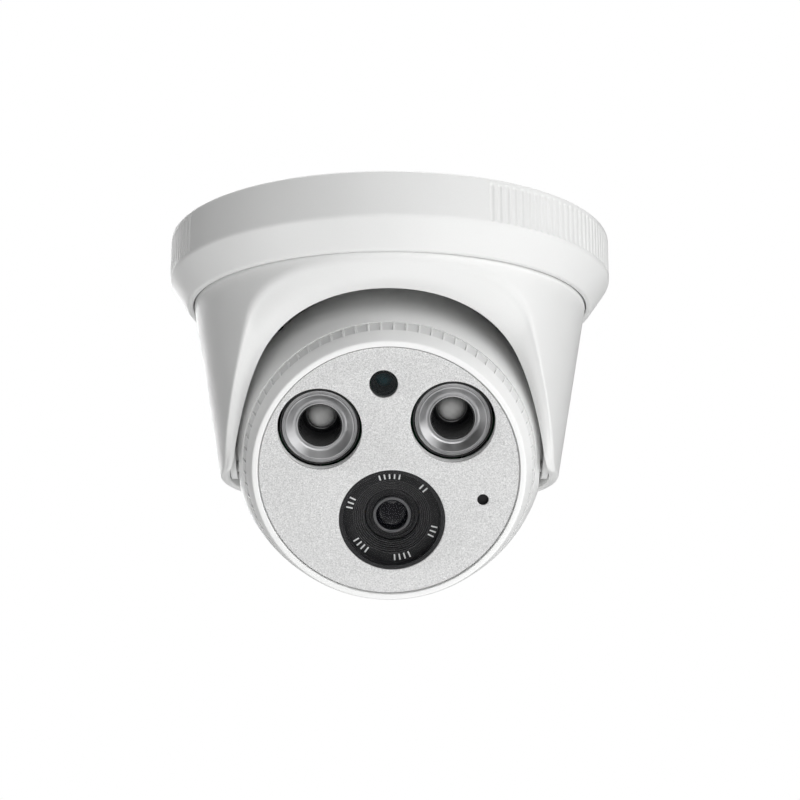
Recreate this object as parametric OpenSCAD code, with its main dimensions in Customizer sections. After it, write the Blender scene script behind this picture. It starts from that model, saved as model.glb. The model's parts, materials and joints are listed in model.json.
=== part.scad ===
// Ceiling dome camera with a tilting eyeball and a twist-off trim ring.
// Millimetres. +Z is up and the ceiling is the plane z = 0. The camera looks towards -Y.
// The head's own frame has +Z along the line of sight and +Y up the face.

/* [Mounting base and trim ring] */
// Outer diameter of the trim ring
ring_d = 120; // [118:1:124]
// Height of the trim ring below the ceiling
ring_h = 19; // [19:0.5:21]
// Height of the ring's upright wall, above its chamfer
ring_wall_h = 11.2; // [10.5:0.1:11.5]
// Pitch circle of the ceiling screws
screw_pcd = 84; // [76:1:86]
// Radius of a ceiling screw hole
screw_hole_r = 2.25; // [2:0.05:2.6]
// Radius of the cable bore in the grommet
cable_bore_r = 3.25; // [2.5:0.05:4]

/* [Turret shell] */
// Outer radius of the cone where it leaves the ring
cone_top_r = 53.26; // [53:0.02:53.4]
// Outer radius of the cone at its open bottom rim
cone_bottom_r = 45.1; // [44.9:0.1:46]
// Depth of the open bottom rim below the ceiling
cone_bottom_z = 65.5; // [64:0.5:67]
// Thickness of the moulded walls
wall = 2.6; // [2.2:0.1:2.8]

/* [Eyeball] */
// Radius of the eyeball
ball_r = 42; // [41.6:0.1:42.2]
// Depth of the tilt axis below the ceiling
tilt_z = 55; // [54.5:0.1:55.5]
// How far the face points below the horizon at rest, in degrees
tilt_rest = 31; // [28:1:34]
// How far the face is rolled at rest, in degrees
roll_rest = 3.2; // [-10:0.2:10]
// Radius of the tilt pins
pin_r = 4; // [3.5:0.1:4]

/* [Camera head] */
// Radius of the face panel
panel_r = 33.4; // [33:0.1:33.6]
// Radius of an infrared lamp hole
lamp_r = 10.8; // [10.4:0.1:10.9]
// Distance from the face's middle line to a lamp
lamp_x = 17; // [16.8:0.1:17.4]
// Height of the lamps above the face's centre
lamp_y = 12.7; // [11.8:0.1:12.8]
// Radius of the hole for the lens window
window_r = 13.7; // [13.2:0.1:13.8]
// Distance from the face's centre down to the lens
lens_drop = 13.1; // [12.9:0.1:13.5]
// Number of grip pockets round the front cover
grip_count = 72; // [60:4:72]

/* [Hidden] */
$fn = 96;
eps = 0.01;

// Colours
WHITE = "#f2f3f2";
SILVER = "#d5d6d6";
BLACK = "#1b1c1e";
RUBBER = "#2c2d2f";
STEEL = "#b9bcbf";
BOARD = "#1f6b3c";
BRASS = "#c9a44c";

// Base, ring and turret flange
gap = 0.4;                          // running gap between moulded bodies
ring_r = ring_d / 2;
plate_t = 3;
plate_r = ring_r - 2.8;
ring_in_r = ring_r - 2.4;           // inside of the ring's upright wall
pocket_r = ring_r - 4.6;            // inside of the ring round the turret flange
mouth_r = cone_top_r + 0.34;        // opening in the ring's bottom lip
lip_top_z = -ring_h + 3.3;
flange_bottom_z = lip_top_z + 0.3;
flange_top_z = flange_bottom_z + 2.4;
flange_r = pocket_r - gap;
neck_r = cone_top_r - 0.06;
skirt_r = ring_r - 8;
skirt_in_r = skirt_r - 2.5;
skirt_bottom_z = flange_top_z + 1.2;
friction_t = 0.9;
lug_count = 3;
lug_z = -9;                         // underside of the base's bayonet lugs
lug_h = 2.2;
base_lug_deg = 26;
ring_lug_deg = 24;
stop_deg = 3.2;                     // width of a stop rib
stop_r = 54.8;
screw_boss_r = 6;
screw_head_r = 4.4;
grommet_r = 9;
grommet_flange_r = 11.3;

// Turret cone and brackets
cone_slope = (cone_top_r - cone_bottom_r) / (cone_bottom_z - ring_h);
function cone_r(z) = cone_top_r + cone_slope * (z + ring_h);
arch_r = 43.6;                      // radius of the arch's inner lip about the pan axis
arch_top_z = -ring_h - 1.9;
lip_drop = 4.5;                     // how far the lip hangs below the crease at the top
strap_in = 40.7;                    // inner face of a bracket, from the middle plane
strap_t = 1.6;
strap_half_w = 6;
strap_disc_r = 10;
washer_t = 0.8;
strap_top_z = -19.8;
bracket_screw_z = [-22.6, -27.4];
stub_r = 1.2;                       // stub that ends the tilt in the bracket's slot
stub_arm = 7;
tilt_up = 31;
tilt_down = 44;

// Eyeball, along the line of sight from the tilt axis
ball_wall = 2.4;
flat_x = 39.5;                      // flats that the tilt washers bear on
mouth_p = 17;
ball_mouth_r = 34.5;
gland_deg = 35;                     // from the rear pole up to the cable gland

// Camera head, along the line of sight from the tilt axis
face_p = 24.6;
bezel_p = face_p + 0.4;
panel_t = 1;
plate_back_p = 21.8;
cover_back_p = mouth_p + gap;
spigot_r = 33.2;
spigot_in_r = 31.6;
spigot_back_p = 11;
sensor_hole_y = 23.8;
sensor_hole_r = 3.6;
mic_pos = [23.7, -8.7];
mic_hole_r = 1.45;
post_pos = [[-16, -19], [16, -19], [0, 11]];
post_r = 2.6;
stud_r = 1;
board_t = 1.6;
main_board_p = -4.8;
power_board_p = -16;
ir_board_p = 8;
thread_r = 6;
barrel_r = 7;

// Frames and helpers

// Puts its children in the head's frame.
module head() {
    translate([0, 0, -tilt_z]) rotate([90 + tilt_rest, 0, 0]) rotate([0, 0, roll_rest]) children();
}

// Tube along +Z from z0 to z1.
module tube(r_out, r_in, z0, z1) {
    translate([0, 0, z0]) difference() {
        cylinder(r = r_out, h = z1 - z0);
        translate([0, 0, -1]) cylinder(r = r_in, h = z1 - z0 + 2);
    }
}

// Plain disc along +Z from z0 to z1.
module disc(r, z0, z1) {
    translate([0, 0, z0]) cylinder(r = r, h = z1 - z0);
}

// Block of a ring, centred on an angle.
module sector(r_in, r_out, z0, z1, mid_deg, span_deg) {
    rotate([0, 0, mid_deg - span_deg / 2])
        rotate_extrude(angle = span_deg)
            translate([r_in, z0]) square([r_out - r_in, z1 - z0]);
}

// Screw pointing along -Z with its head's underside at z = 0.
module screw(head_r, head_h, shank_r, length) {
    difference() {
        disc(head_r, 0, head_h);
        translate([0, 0, head_h - 0.5]) cube([head_r * 1.3, 0.5, 1.2], center = true);
        translate([0, 0, head_h - 0.5]) cube([0.5, head_r * 1.3, 1.2], center = true);
    }
    disc(shank_r, -length, 0);
}

// Places children at each lamp: side -1 is left, 1 is right as seen from the front.
module at_lamp(side) {
    translate([side * lamp_x, lamp_y, 0]) children();
}

module at_lens() {
    translate([0, -lens_drop, 0]) children();
}

// Puts children's +X outwards along the tilt axis on one side.
module at_pivot(side) {
    translate([0, 0, -tilt_z]) mirror([side < 0 ? 1 : 0, 0, 0]) children();
}

// Base

module mounting_base() {
    color(WHITE) difference() {
        union() {
            disc(plate_r, -plate_t, 0);
            tube(skirt_r, skirt_in_r, skirt_bottom_z, -plate_t + eps);
            for (i = [0 : lug_count - 1]) {
                rotate([0, 0, -90 + i * 360 / lug_count]) {
                    sector(skirt_r - eps, skirt_r + 4.4, lug_z, lug_z + lug_h, 0, base_lug_deg);
                    // rib that stops the ring when it is locked
                    sector(skirt_r - eps, skirt_r + 4.4, lug_z, -plate_t,
                           base_lug_deg / 2 + stop_deg / 2 + 0.2, stop_deg);
                }
                rotate([0, 0, 30 + i * 360 / lug_count])
                    translate([screw_pcd / 2, 0, 0]) disc(screw_boss_r, -2 * plate_t, 0);
            }
            // pan stop
            sector(skirt_r - eps, stop_r, skirt_bottom_z + 0.1, lug_z - 0.2, -90, stop_deg);
        }
        for (i = [0 : lug_count - 1])
            rotate([0, 0, 30 + i * 360 / lug_count]) translate([screw_pcd / 2, 0, 0]) {
                disc(screw_hole_r, -10, 1);
                disc(screw_head_r, -10, -plate_t - 0.6);
            }
        disc(grommet_r, -10, 1);
        disc(grommet_flange_r, -1, 1);
    }
}

module cable_grommet() {
    color(RUBBER) rotate_extrude() polygon([
        [cable_bore_r, -0.1], [grommet_flange_r, -0.1], [grommet_flange_r, -1], [grommet_r, -1],
        [grommet_r, -plate_t], [grommet_r + 1.8, -plate_t], [grommet_r + 1.4, -plate_t - 1.3],
        [cable_bore_r + 2.4, -plate_t - 2], [cable_bore_r + 1.4, -plate_t - 3.4],
        [cable_bore_r, -plate_t - 3.4]
    ]);
}

module pan_friction_ring() {
    color(BLACK) tube(skirt_r + 1, skirt_in_r + 0.3, skirt_bottom_z - friction_t, skirt_bottom_z);
}

// Trim ring

module trim_ring() {
    chamfer_r = pocket_r - 0.2;     // outer radius where the chamfer meets the bottom bead
    color(WHITE) difference() {
        union() {
            rotate_extrude() polygon([
                [ring_in_r, -0.2], [ring_r - 0.6, -0.2], [ring_r, -0.8],
                [ring_r, -ring_wall_h], [ring_r - 0.4, -ring_wall_h - 1.2],
                [chamfer_r + 0.7, -ring_h + 1.3], [chamfer_r, -ring_h + 0.3],
                [chamfer_r - 0.6, -ring_h], [mouth_r, -ring_h], [mouth_r, lip_top_z],
                [pocket_r, lip_top_z], [pocket_r, lip_top_z + 2.9], [ring_in_r, lip_top_z + 5.1]
            ]);
            for (i = [0 : lug_count - 1])
                sector(skirt_r + 1.5, ring_in_r + 0.5, lug_z + lug_h + gap,
                       lug_z + lug_h + gap + 2, -90 + i * 360 / lug_count, ring_lug_deg);
        }
        // pry notch at the front
        translate([-2, -ring_r - 1, -1]) cube([4, 1.8, 2]);
    }
}

// Turret

// Points along a smooth arch in the X-Z plane, from the left leg over the top to the right leg.
function bezier(p, t) = pow(1 - t, 3) * p[0] + 3 * pow(1 - t, 2) * t * p[1]
    + 3 * (1 - t) * t * t * p[2] + pow(t, 3) * p[3];
arch_steps = 14;
function half_arch(upper, lower) = concat(
    [for (i = [0 : arch_steps]) bezier(upper, i / arch_steps)],
    [for (i = [1 : arch_steps]) bezier(lower, i / arch_steps)]);
function whole_arch(half) = concat(
    [for (i = [len(half) - 1 : -1 : 1]) [-half[i][0], half[i][1]]], half);

// Crease where the arch leaves the cone, and lip where it ends over the eyeball
crease = whole_arch(half_arch(
    [[0, arch_top_z], [16, arch_top_z], [33, arch_top_z], [35.8, -31.5]],
    [[35.8, -31.5], [37.4, -37.5], [42, -52], [42.9, -cone_bottom_z]]));
lip = whole_arch(half_arch(
    [[0, arch_top_z - lip_drop], [12, arch_top_z - lip_drop], [26, -28.5], [32.2, -38.2]],
    [[32.2, -38.2], [36.6, -45.1], [39.3, -56], [40.5, -cone_bottom_z]]));

// Point of an arch on the front of a surface of radius r.
function front_point(p, r) = [p[0], -sqrt(r * r - p[0] * p[0]), p[1]];

// Everything below the arch's band, with the band raised by rise.
module below_arch(rise) {
    n = len(crease);
    floor_z = -cone_bottom_z - 4;
    outer = [for (p = crease) front_point(p, cone_r(p[1]))];
    inner = [for (p = lip) front_point(p, arch_r)];
    across = [for (i = [0 : n - 1]) (outer[i] - inner[i]) / norm(outer[i] - inner[i])];
    lift = [0, 0, rise];
    ring_points = [for (i = [0 : n - 1]) each [
        inner[i] - 6 * across[i] + lift,
        outer[i] + 5 * across[i] + lift,
        [outer[i][0] + 5 * across[i][0], outer[i][1] + 5 * across[i][1], floor_z],
        [inner[i][0] - 6 * across[i][0], inner[i][1] - 6 * across[i][1], floor_z]
    ]];
    last = 4 * (n - 1);
    polyhedron(ring_points, concat(
        [[0, 1, 2], [0, 2, 3], [last + 2, last + 1, last], [last + 3, last + 2, last]],
        [for (i = [0 : n - 2]) for (k = [0 : 3]) let (a = 4 * i + k, b = 4 * i + (k + 1) % 4) each
            [[a, a + 4, b + 4], [a, b + 4, b]]]));
}

// Solid between the cone's outside and an upright bore of radius r_in.
module cone_ring(r_in, z0, z1, inset) {
    rotate_extrude() polygon([
        [r_in, z0], [cone_r(z0) - inset, z0], [cone_r(z1) - inset, z1], [r_in, z1]
    ]);
}

module turret_shell() {
    rim_z = -cone_bottom_z;
    color(WHITE) difference() {
        union() {
            rotate_extrude() polygon([
                [neck_r - wall, flange_top_z], [flange_r, flange_top_z],
                [flange_r, flange_bottom_z], [neck_r, flange_bottom_z], [neck_r, -ring_h],
                [cone_r(rim_z + 3), rim_z + 3], [cone_r(rim_z) + 0.1, rim_z + 1.3],
                [cone_r(rim_z) - 0.8, rim_z + 0.3], [cone_r(rim_z) - 1.7, rim_z],
                [cone_r(rim_z) - wall, rim_z], [cone_r(-ring_h) - wall, -ring_h]
            ]);
            // thick rim behind the arch
            intersection() {
                cone_ring(arch_r, rim_z + 0.4, -ring_h - 0.2, 0.3);
                below_arch(2.8);
            }
            // bosses that the brackets are screwed to
            for (side = [-1, 1]) intersection() {
                cone_ring(strap_in + strap_t, -31, strap_top_z, 0.8);
                translate([side * 48, 0, -26])
                    cube([2 * (48 - strap_in - strap_t), 2 * strap_half_w, 14], center = true);
            }
            // pan stop lug
            sector(stop_r - 1.4, stop_r, flange_top_z - eps, lug_z - 0.9, 90, stop_deg);
        }
        below_arch(0);
        for (side = [-1, 1]) for (z = bracket_screw_z)
            translate([side * (strap_in + strap_t - 1), 0, z]) rotate([0, side * 90, 0])
                cylinder(r = 1.25, h = 6);
    }
}

// Bracket that carries one tilt pin, in the pivot's frame with +X outwards.
module pivot_bracket(side) {
    color(STEEL) at_pivot(side) difference() {
        union() {
            translate([strap_in, 0, 0]) rotate([0, 90, 0]) cylinder(r = strap_disc_r, h = strap_t);
            translate([strap_in, -strap_half_w, 0])
                cube([strap_t, 2 * strap_half_w, tilt_z + strap_top_z]);
        }
        translate([strap_in - 1, 0, 0]) rotate([0, 90, 0]) cylinder(r = pin_r + 0.05, h = 5);
        // slot for the ball's stub, in angles from +Y towards +Z
        rotate([90, 0, 90]) sector(stub_arm - stub_r - gap, stub_arm + stub_r + gap,
            strap_in - 1, strap_in + strap_t + 1,
            270 + (tilt_down - tilt_up) / 2, tilt_up + tilt_down + 26.4);
        for (z = bracket_screw_z)
            translate([strap_in - 1, 0, tilt_z + z]) rotate([0, 90, 0]) cylinder(r = 1.4, h = 5);
    }
}

module pivot_bracket_left() { pivot_bracket(-1); }
module pivot_bracket_right() { pivot_bracket(1); }

module tilt_washer(side) {
    color(BLACK) at_pivot(side) rotate([0, 90, 0])
        tube(pin_r + 1.2, pin_r + 0.4, strap_in - washer_t, strap_in);
}

module tilt_washer_left() { tilt_washer(-1); }
module tilt_washer_right() { tilt_washer(1); }

module bracket_screws() {
    color(STEEL) for (side = [-1, 1]) at_pivot(side) for (z = bracket_screw_z)
        translate([strap_in, 0, tilt_z + z]) rotate([0, -90, 0]) screw(2.1, 1.4, 1.25, 6.5);
}

// Eyeball

// Space inside the ball's wall, with the pads, the cover's ledge and the roll stop left standing.
module ball_hollow() {
    difference() {
        translate([0, 0, -tilt_z]) sphere(r = ball_r - ball_wall);
        for (side = [-1, 1]) at_pivot(side) rotate([0, 90, 0])
            disc(15, flat_x - 2.3, ball_r);
        head() {
            tube(ball_r, ball_mouth_r, mouth_p - 2.5, mouth_p + 1);
            sector(36, ball_r, mouth_p - 5, mouth_p - 2.4, -90, stop_deg);
        }
    }
}

module ball_rear_shell() {
    pin_end = strap_in + strap_t - 0.1;
    color(WHITE) difference() {
        union() {
            translate([0, 0, -tilt_z]) intersection() {
                sphere(r = ball_r);
                rotate([0, 90, 0]) disc(ball_r + 1, -flat_x, flat_x);
            }
            for (side = [-1, 1]) at_pivot(side) rotate([0, 90, 0]) {
                disc(pin_r, flat_x - 1, pin_end);
                translate([stub_arm, 0, 0]) disc(stub_r, flat_x - 1, pin_end - 0.4);
            }
        }
        ball_hollow();
        head() disc(ball_r + 1, mouth_p, 2 * ball_r);
        head_gland_axis() {
            disc(4, 30, 50);
            disc(6, ball_r - 1, 50);
        }
    }
}

// Frame of the ball's cable gland, with +Z out of the ball.
module head_gland_axis() {
    translate([0, 0, -tilt_z]) rotate([-(90 - tilt_rest - gland_deg), 0, 0]) children();
}

module roll_seal() {
    color(RUBBER) head() tube(ball_mouth_r, spigot_r + 0.15, mouth_p - 2, mouth_p - 0.4);
}

module ball_cable_gland() {
    color(RUBBER) head_gland_axis() rotate_extrude() polygon([
        [cable_bore_r - 0.7, 37.4], [5, 37.4], [5, 38.9], [3.95, 38.9], [3.95, ball_r - 1],
        [5.5, ball_r - 1], [5.5, ball_r + 0.8], [4, ball_r + 1.2], [3.8, ball_r + 3],
        [cable_bore_r - 0.7, ball_r + 3]
    ]);
}

// Camera head: outer pieces

module face_holes(margin, p0, p1) {
    for (side = [-1, 1]) at_lamp(side) disc(lamp_r + margin, p0, p1);
    at_lens() disc(window_r + margin, p0, p1);
    translate([0, sensor_hole_y, 0]) disc(sensor_hole_r + margin, p0, p1);
    translate(mic_pos) disc(mic_hole_r + margin, p0, p1);
}

module front_cover() {
    color(WHITE) head() difference() {
        union() {
            rotate_extrude() polygon([
                [spigot_in_r, spigot_back_p], [spigot_r, spigot_back_p], [spigot_r, cover_back_p],
                [38.1, cover_back_p], [37.9, cover_back_p + 0.7], [37.2, 20.4], [36.5, 21.9],
                [35.7, 23.9], [35.3, 24.6], [34.7, bezel_p], [panel_r + 0.25, bezel_p],
                [panel_r + 0.25, face_p - panel_t], [0, face_p - panel_t], [0, plate_back_p],
                [spigot_in_r, plate_back_p]
            ]);
            for (p = post_pos) translate(p)
                disc(post_r, main_board_p + board_t, plate_back_p + eps);
        }
        face_holes(0, plate_back_p - 1, bezel_p);
        for (p = post_pos) translate(p) disc(stud_r, -10, 6);
        // grip pockets, deeper on one side
        for (i = [0 : grip_count - 1]) rotate([0, 0, i * 360 / grip_count])
            translate([38.2, 0, 19.1]) rotate([0, -22, 8]) cube([2, 2.7, 2.2], center = true);
    }
}

module retaining_ring() {
    color(BLACK) head() {
        tube(35.6, spigot_r, spigot_back_p, mouth_p - 2.5 - gap);
        sector(35.5, 36.6, spigot_back_p + 0.3, mouth_p - 2.5 - gap - 0.3, 90, stop_deg);
    }
}

module face_panel() {
    color(SILVER) head() difference() {
        disc(panel_r, face_p - panel_t, face_p);
        face_holes(0, 0, 40);
    }
}

module lens_window() {
    color([0.55, 0.6, 0.62, 0.35]) head() at_lens() disc(window_r - 0.1, face_p - 1.7, face_p - 0.2);
}

module photosensor_window() {
    color([0.05, 0.2, 0.22, 0.8]) head() translate([0, sensor_hole_y, 0])
        disc(sensor_hole_r - 0.1, face_p - 1.5, face_p - 0.2);
}

// Camera head: lens and sensor

module lens_shroud() {
    steps = 6;
    color(BLACK) head() at_lens() rotate_extrude() polygon(concat(
        [[barrel_r + 0.5, 17.4], [window_r - 0.2, 17.4], [window_r - 0.2, face_p - 1.7],
         [window_r - 3.4, face_p - 1.7], [window_r - 3.4, face_p - 2.7]],
        [for (i = [1 : steps - 1]) each
            [[window_r - 3.4 - i * 0.4, face_p - 2.7 - (i - 1) * 0.25],
             [window_r - 3.4 - i * 0.4, face_p - 2.7 - i * 0.25]]],
        [[barrel_r + 0.5, face_p - 2.7 - (steps - 1) * 0.25]]
    ));
}

module lens_barrel() {
    color(BLACK) head() at_lens() rotate_extrude() polygon([
        [4.2, 5], [thread_r, 5], [thread_r, 13], [barrel_r, 13], [barrel_r, 19.8],
        [barrel_r - 0.4, 20.2], [5, 20.2], [5, 17.4], [3.4, 16.6], [3, 12], [4.2, 8]
    ]);
}

module lens_nose_ring() {
    color(STEEL) head() at_lens() tube(4.95, 4.15, 20.2, 20.7);
}

module lens_front_glass() {
    color([0.1, 0.1, 0.16, 0.6]) head() at_lens() rotate_extrude() polygon([
        [0, 17.4], [4.9, 17.4], [4.9, 19], [4, 19.6], [2.6, 20.05], [1.3, 20.3], [0, 20.4]
    ]);
}

module lens_rear_glass() {
    color([0.1, 0.1, 0.16, 0.6]) head() at_lens() disc(4.15, 5.4, 7.2);
}

module lens_lock_ring() {
    color(BRASS) head() at_lens() difference() {
        tube(8.2, thread_r, 11, 12.6);
        for (i = [0 : 11]) rotate([0, 0, i * 30]) translate([8.4, 0, 11.8])
            cube([0.8, 1, 3], center = true);
    }
}

module lens_mount() {
    half = [13, 8];
    color(BLACK) head() at_lens() difference() {
        union() {
            translate([-half[0], -half[1], main_board_p + board_t])
                cube([2 * half[0], 2 * half[1], 7.8]);
            disc(8.5, 4, 11);
        }
        disc(thread_r + 0.04, 2.2, 12);
        // pocket for the sensor, light opening, and the filter's guide
        translate([-6, -5, main_board_p + board_t - 1]) cube([12, 10, 3]);
        translate([-4, -3, -2]) cube([8, 6, 4]);
        translate([-11.6, -5.8, 0]) cube([23.2, 11.6, 2.4]);
    }
}

module ir_cut_filter() {
    color([0.75, 0.35, 0.4, 0.6]) head() at_lens() difference() {
        translate([-11, -5.3, 0.4]) cube([16, 10.6, 1.6]);
        translate([-10, -4.2, 1.4]) cube([6.4, 8.4, 1]);
        translate([-2.2, -4.2, 1.4]) cube([6.4, 8.4, 1]);
    }
}

module ir_cut_solenoid() {
    color(BRASS) head() translate([-6, -1.9, 1.2]) rotate([0, 90, 0]) {
        disc(2.6, 1, 11);
        disc(3, 0, 1);
        disc(3, 11, 12);
    }
}

module image_sensor() {
    color("#3a3f55") head() at_lens()
        translate([-5, -4, main_board_p + board_t]) cube([10, 8, 1.4]);
}

// Camera head: boards

// Rectangular board with holes for the studs.
module stud_board(size, y0, p) {
    difference() {
        translate([-size[0] / 2, y0, p]) cube([size[0], size[1], board_t]);
        for (q = post_pos) translate(q) disc(stud_r, p - 1, p + board_t + 1);
    }
}

module main_board() {
    color(BOARD) head() stud_board([38, 38], -23.5, main_board_p);
}

module processor_chip() {
    color(BLACK) head() translate([-6, -9, main_board_p - 1.3]) cube([12, 12, 1.3]);
}

module board_standoffs() {
    color(BRASS) head() for (p = post_pos) translate(p) {
        difference() {
            translate([0, 0, power_board_p + board_t])
                cylinder(r = 2.4, h = main_board_p - power_board_p - board_t, $fn = 6);
            disc(stud_r, power_board_p, main_board_p - 4);
        }
        disc(stud_r, main_board_p - eps, 4);
    }
}

module board_screws() {
    color(STEEL) head() for (p = post_pos) translate([p[0], p[1], power_board_p])
        rotate([180, 0, 0]) screw(1.9, 1.3, stud_r, 5.5);
}

module power_board() {
    color(BOARD) head() stud_board([36, 36], -22.5, power_board_p);
}

module power_capacitors() {
    color("#27324a") head() for (x = [-12, -5.6, 12]) translate([x, -1, 0])
        disc(2.6, power_board_p + board_t, power_board_p + board_t + 6.5);
}

module harness_connector() {
    color(WHITE) head() difference() {
        translate([-5, -6, power_board_p - 5]) cube([10, 6, 5]);
        translate([-4.2, -5.2, power_board_p - 6]) cube([8.4, 4.4, 5]);
    }
}

// Outline shared by the lamp board and its heat sink.
module lamp_plate(p0, p1) {
    difference() {
        intersection() {
            disc(29.5, p0, p1);
            translate([-30, 2.4, p0]) cube([60, 30, p1 - p0]);
        }
        translate(post_pos[2]) disc(post_r + 0.2, p0 - 1, p1 + 1);
    }
}

module ir_board() {
    color(BOARD) head() lamp_plate(ir_board_p, ir_board_p + board_t);
}

module ir_heat_sink() {
    color(STEEL) head() {
        lamp_plate(ir_board_p - 1.6, ir_board_p);
        for (x = [-24, -18, -12, -6, 6, 12, 18, 24])
            translate([x - 0.6, 6, ir_board_p - 6]) cube([1.2, 11, 4.4]);
    }
}

module ir_led(side) {
    base = ir_board_p + board_t;
    color("#8e8f84") head() at_lamp(side) {
        disc(4, base, base + 1.4);
        rotate_extrude() intersection() {
            translate([0, base + 1.4]) circle(r = 2.8);
            translate([0, base + 1.4]) square([3, 3]);
        }
    }
}

module ir_led_left() { ir_led(-1); }
module ir_led_right() { ir_led(1); }

// Clear collimator: flared body with a well in front and one over the lamp.
module ir_optic(side) {
    color([0.85, 0.87, 0.88, 0.4]) head() at_lamp(side) rotate_extrude() polygon([
        [3.2, 13.4], [5.6, 13.4], [7.4, 16], [8.7, 19], [9.3, 22], [9.3, 22.8], [7.2, 22.8],
        [6.4, 21.2], [5.2, 20.6], [5, 18.4], [3, 18.9], [0, 19.1], [0, 15.2], [2.2, 14.8], [3.2, 13.9]
    ]);
}

module ir_optic_left() { ir_optic(-1); }
module ir_optic_right() { ir_optic(1); }

module ir_cup(side) {
    base = ir_board_p + board_t;
    color(BLACK) head() at_lamp(side) {
        tube(10, 9.5, base, 22.4);
        tube(9.6, 4.3, base, base + 1.4);
        tube(9.6, 5.8, 12.6, 13.4);
    }
}

module ir_cup_left() { ir_cup(-1); }
module ir_cup_right() { ir_cup(1); }

module photosensor_tube() {
    color(BLACK) head() translate([0, sensor_hole_y, 0])
        tube(3.2, 2.4, ir_board_p + board_t, face_p - 1.5);
}

module photosensor() {
    color("#4d5560") head() translate([0, sensor_hole_y, ir_board_p + board_t]) rotate_extrude()
        polygon([[0, 0], [2.3, 0], [2.3, 3.4], [1.6, 4.9], [0, 5.5]]);
}

module microphone() {
    color(STEEL) head() translate(mic_pos) disc(3, 17.6, 20.2);
}

module microphone_boot() {
    color(RUBBER) head() translate(mic_pos) difference() {
        disc(3.8, 17.2, plate_back_p);
        disc(3, 16, 20.2);
        disc(1.2, 20, 30);
    }
}

mounting_base();
cable_grommet();
pan_friction_ring();
trim_ring();
turret_shell();
pivot_bracket_left();
pivot_bracket_right();
tilt_washer_left();
tilt_washer_right();
bracket_screws();
ball_rear_shell();
roll_seal();
ball_cable_gland();
front_cover();
retaining_ring();
face_panel();
lens_window();
lens_shroud();
lens_nose_ring();
lens_barrel();
lens_front_glass();
lens_rear_glass();
lens_lock_ring();
lens_mount();
ir_cut_filter();
ir_cut_solenoid();
image_sensor();
main_board();
processor_chip();
board_standoffs();
board_screws();
power_board();
power_capacitors();
harness_connector();
ir_board();
ir_heat_sink();
ir_led_left();
ir_led_right();
ir_optic_left();
ir_optic_right();
ir_cup_left();
ir_cup_right();
photosensor_window();
photosensor_tube();
photosensor();
microphone();
microphone_boot();
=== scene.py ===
"""Looks of the ceiling dome camera: high resolution shells, optics, materials, light and camera.

Lengths are millimetres, except for the floor, the lights and the camera, which are in metres.
The row frame has +Z up into the ceiling and the camera facing -Y. The head's frame has +Z along
the line of sight, +Y up the face and its origin on the tilt axis.
"""

import json
import math

import bmesh
import bpy
from mathutils import Matrix, Vector


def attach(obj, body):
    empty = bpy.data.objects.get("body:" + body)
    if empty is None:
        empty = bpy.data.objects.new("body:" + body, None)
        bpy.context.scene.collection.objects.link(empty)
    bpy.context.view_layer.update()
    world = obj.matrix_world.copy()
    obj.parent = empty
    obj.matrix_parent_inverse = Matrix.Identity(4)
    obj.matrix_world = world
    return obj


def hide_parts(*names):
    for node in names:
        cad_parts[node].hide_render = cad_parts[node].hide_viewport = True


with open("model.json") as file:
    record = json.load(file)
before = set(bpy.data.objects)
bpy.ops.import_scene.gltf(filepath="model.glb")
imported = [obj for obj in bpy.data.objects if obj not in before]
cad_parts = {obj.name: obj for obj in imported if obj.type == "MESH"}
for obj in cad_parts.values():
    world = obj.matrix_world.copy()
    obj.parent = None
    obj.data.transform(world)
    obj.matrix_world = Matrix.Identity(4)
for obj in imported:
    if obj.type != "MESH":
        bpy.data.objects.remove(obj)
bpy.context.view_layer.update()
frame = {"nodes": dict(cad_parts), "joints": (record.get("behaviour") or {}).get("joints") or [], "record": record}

MM = 0.001
TAU = 2 * math.pi
JOINTS = {joint["name"]: joint for joint in frame["joints"]}
TO_MM = Matrix.Scale(MM, 4)

# Frames -----------------------------------------------------------------------------------------


def head_frame():
    """Matrix from head millimetres to row metres, from the joints that carry the head."""
    forward = Vector(JOINTS["image_roll"]["axis"]).normalized()
    across = Vector(JOINTS["ir_cut_shift"]["axis"]).normalized()
    up = forward.cross(across).normalized()
    rotation = Matrix((up.cross(forward), up, forward)).transposed().to_4x4()
    return Matrix.Translation(Vector(JOINTS["ball_tilt"]["pos_m"])) @ rotation @ TO_MM


HEAD = head_frame()
BALL = Matrix.Translation(Vector(JOINTS["ball_tilt"]["pos_m"])) @ TO_MM


def extent(node, matrix):
    """Lowest and highest corner of a CAD node in the millimetres of matrix's frame."""
    back = matrix.inverted()
    points = [back @ v.co for v in frame["nodes"][node].data.vertices]
    return (Vector(tuple(min(p[k] for p in points) for k in range(3))),
            Vector(tuple(max(p[k] for p in points) for k in range(3))))


def middle(node):
    """Head-frame position of the axis of a round CAD node."""
    low, high = extent(node, HEAD)
    return Vector(((low.x + high.x) / 2, (low.y + high.y) / 2, 0))


# Driving sizes, from the frame
RING_LOW, RING_HIGH = extent("trim_ring", TO_MM)
PANEL_HIGH = extent("face_panel", HEAD)[1]
RING_R = min(RING_HIGH.x, RING_HIGH.y, -RING_LOW.x, -RING_LOW.y)
RING_BOTTOM = RING_LOW.z
RING_TOP = RING_HIGH.z
RIM_Z = extent("turret_shell", TO_MM)[0].z
FACE_P = PANEL_HIGH.z
PANEL_R = PANEL_HIGH.x
BEZEL_P = extent("front_cover", HEAD)[1].z
LENS = middle("lens_window")
EYE = middle("photosensor_window")
LAMPS = {"left": middle("ir_optic_left"), "right": middle("ir_optic_right")}
MIC = middle("microphone")

BALL_R = 42
FLAT_X = 39.5                       # flats that the tilt pins stand on
MOUTH_P = 17.36                     # where the ball is cut open, along the line of sight

# Materials --------------------------------------------------------------------------------------


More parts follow.
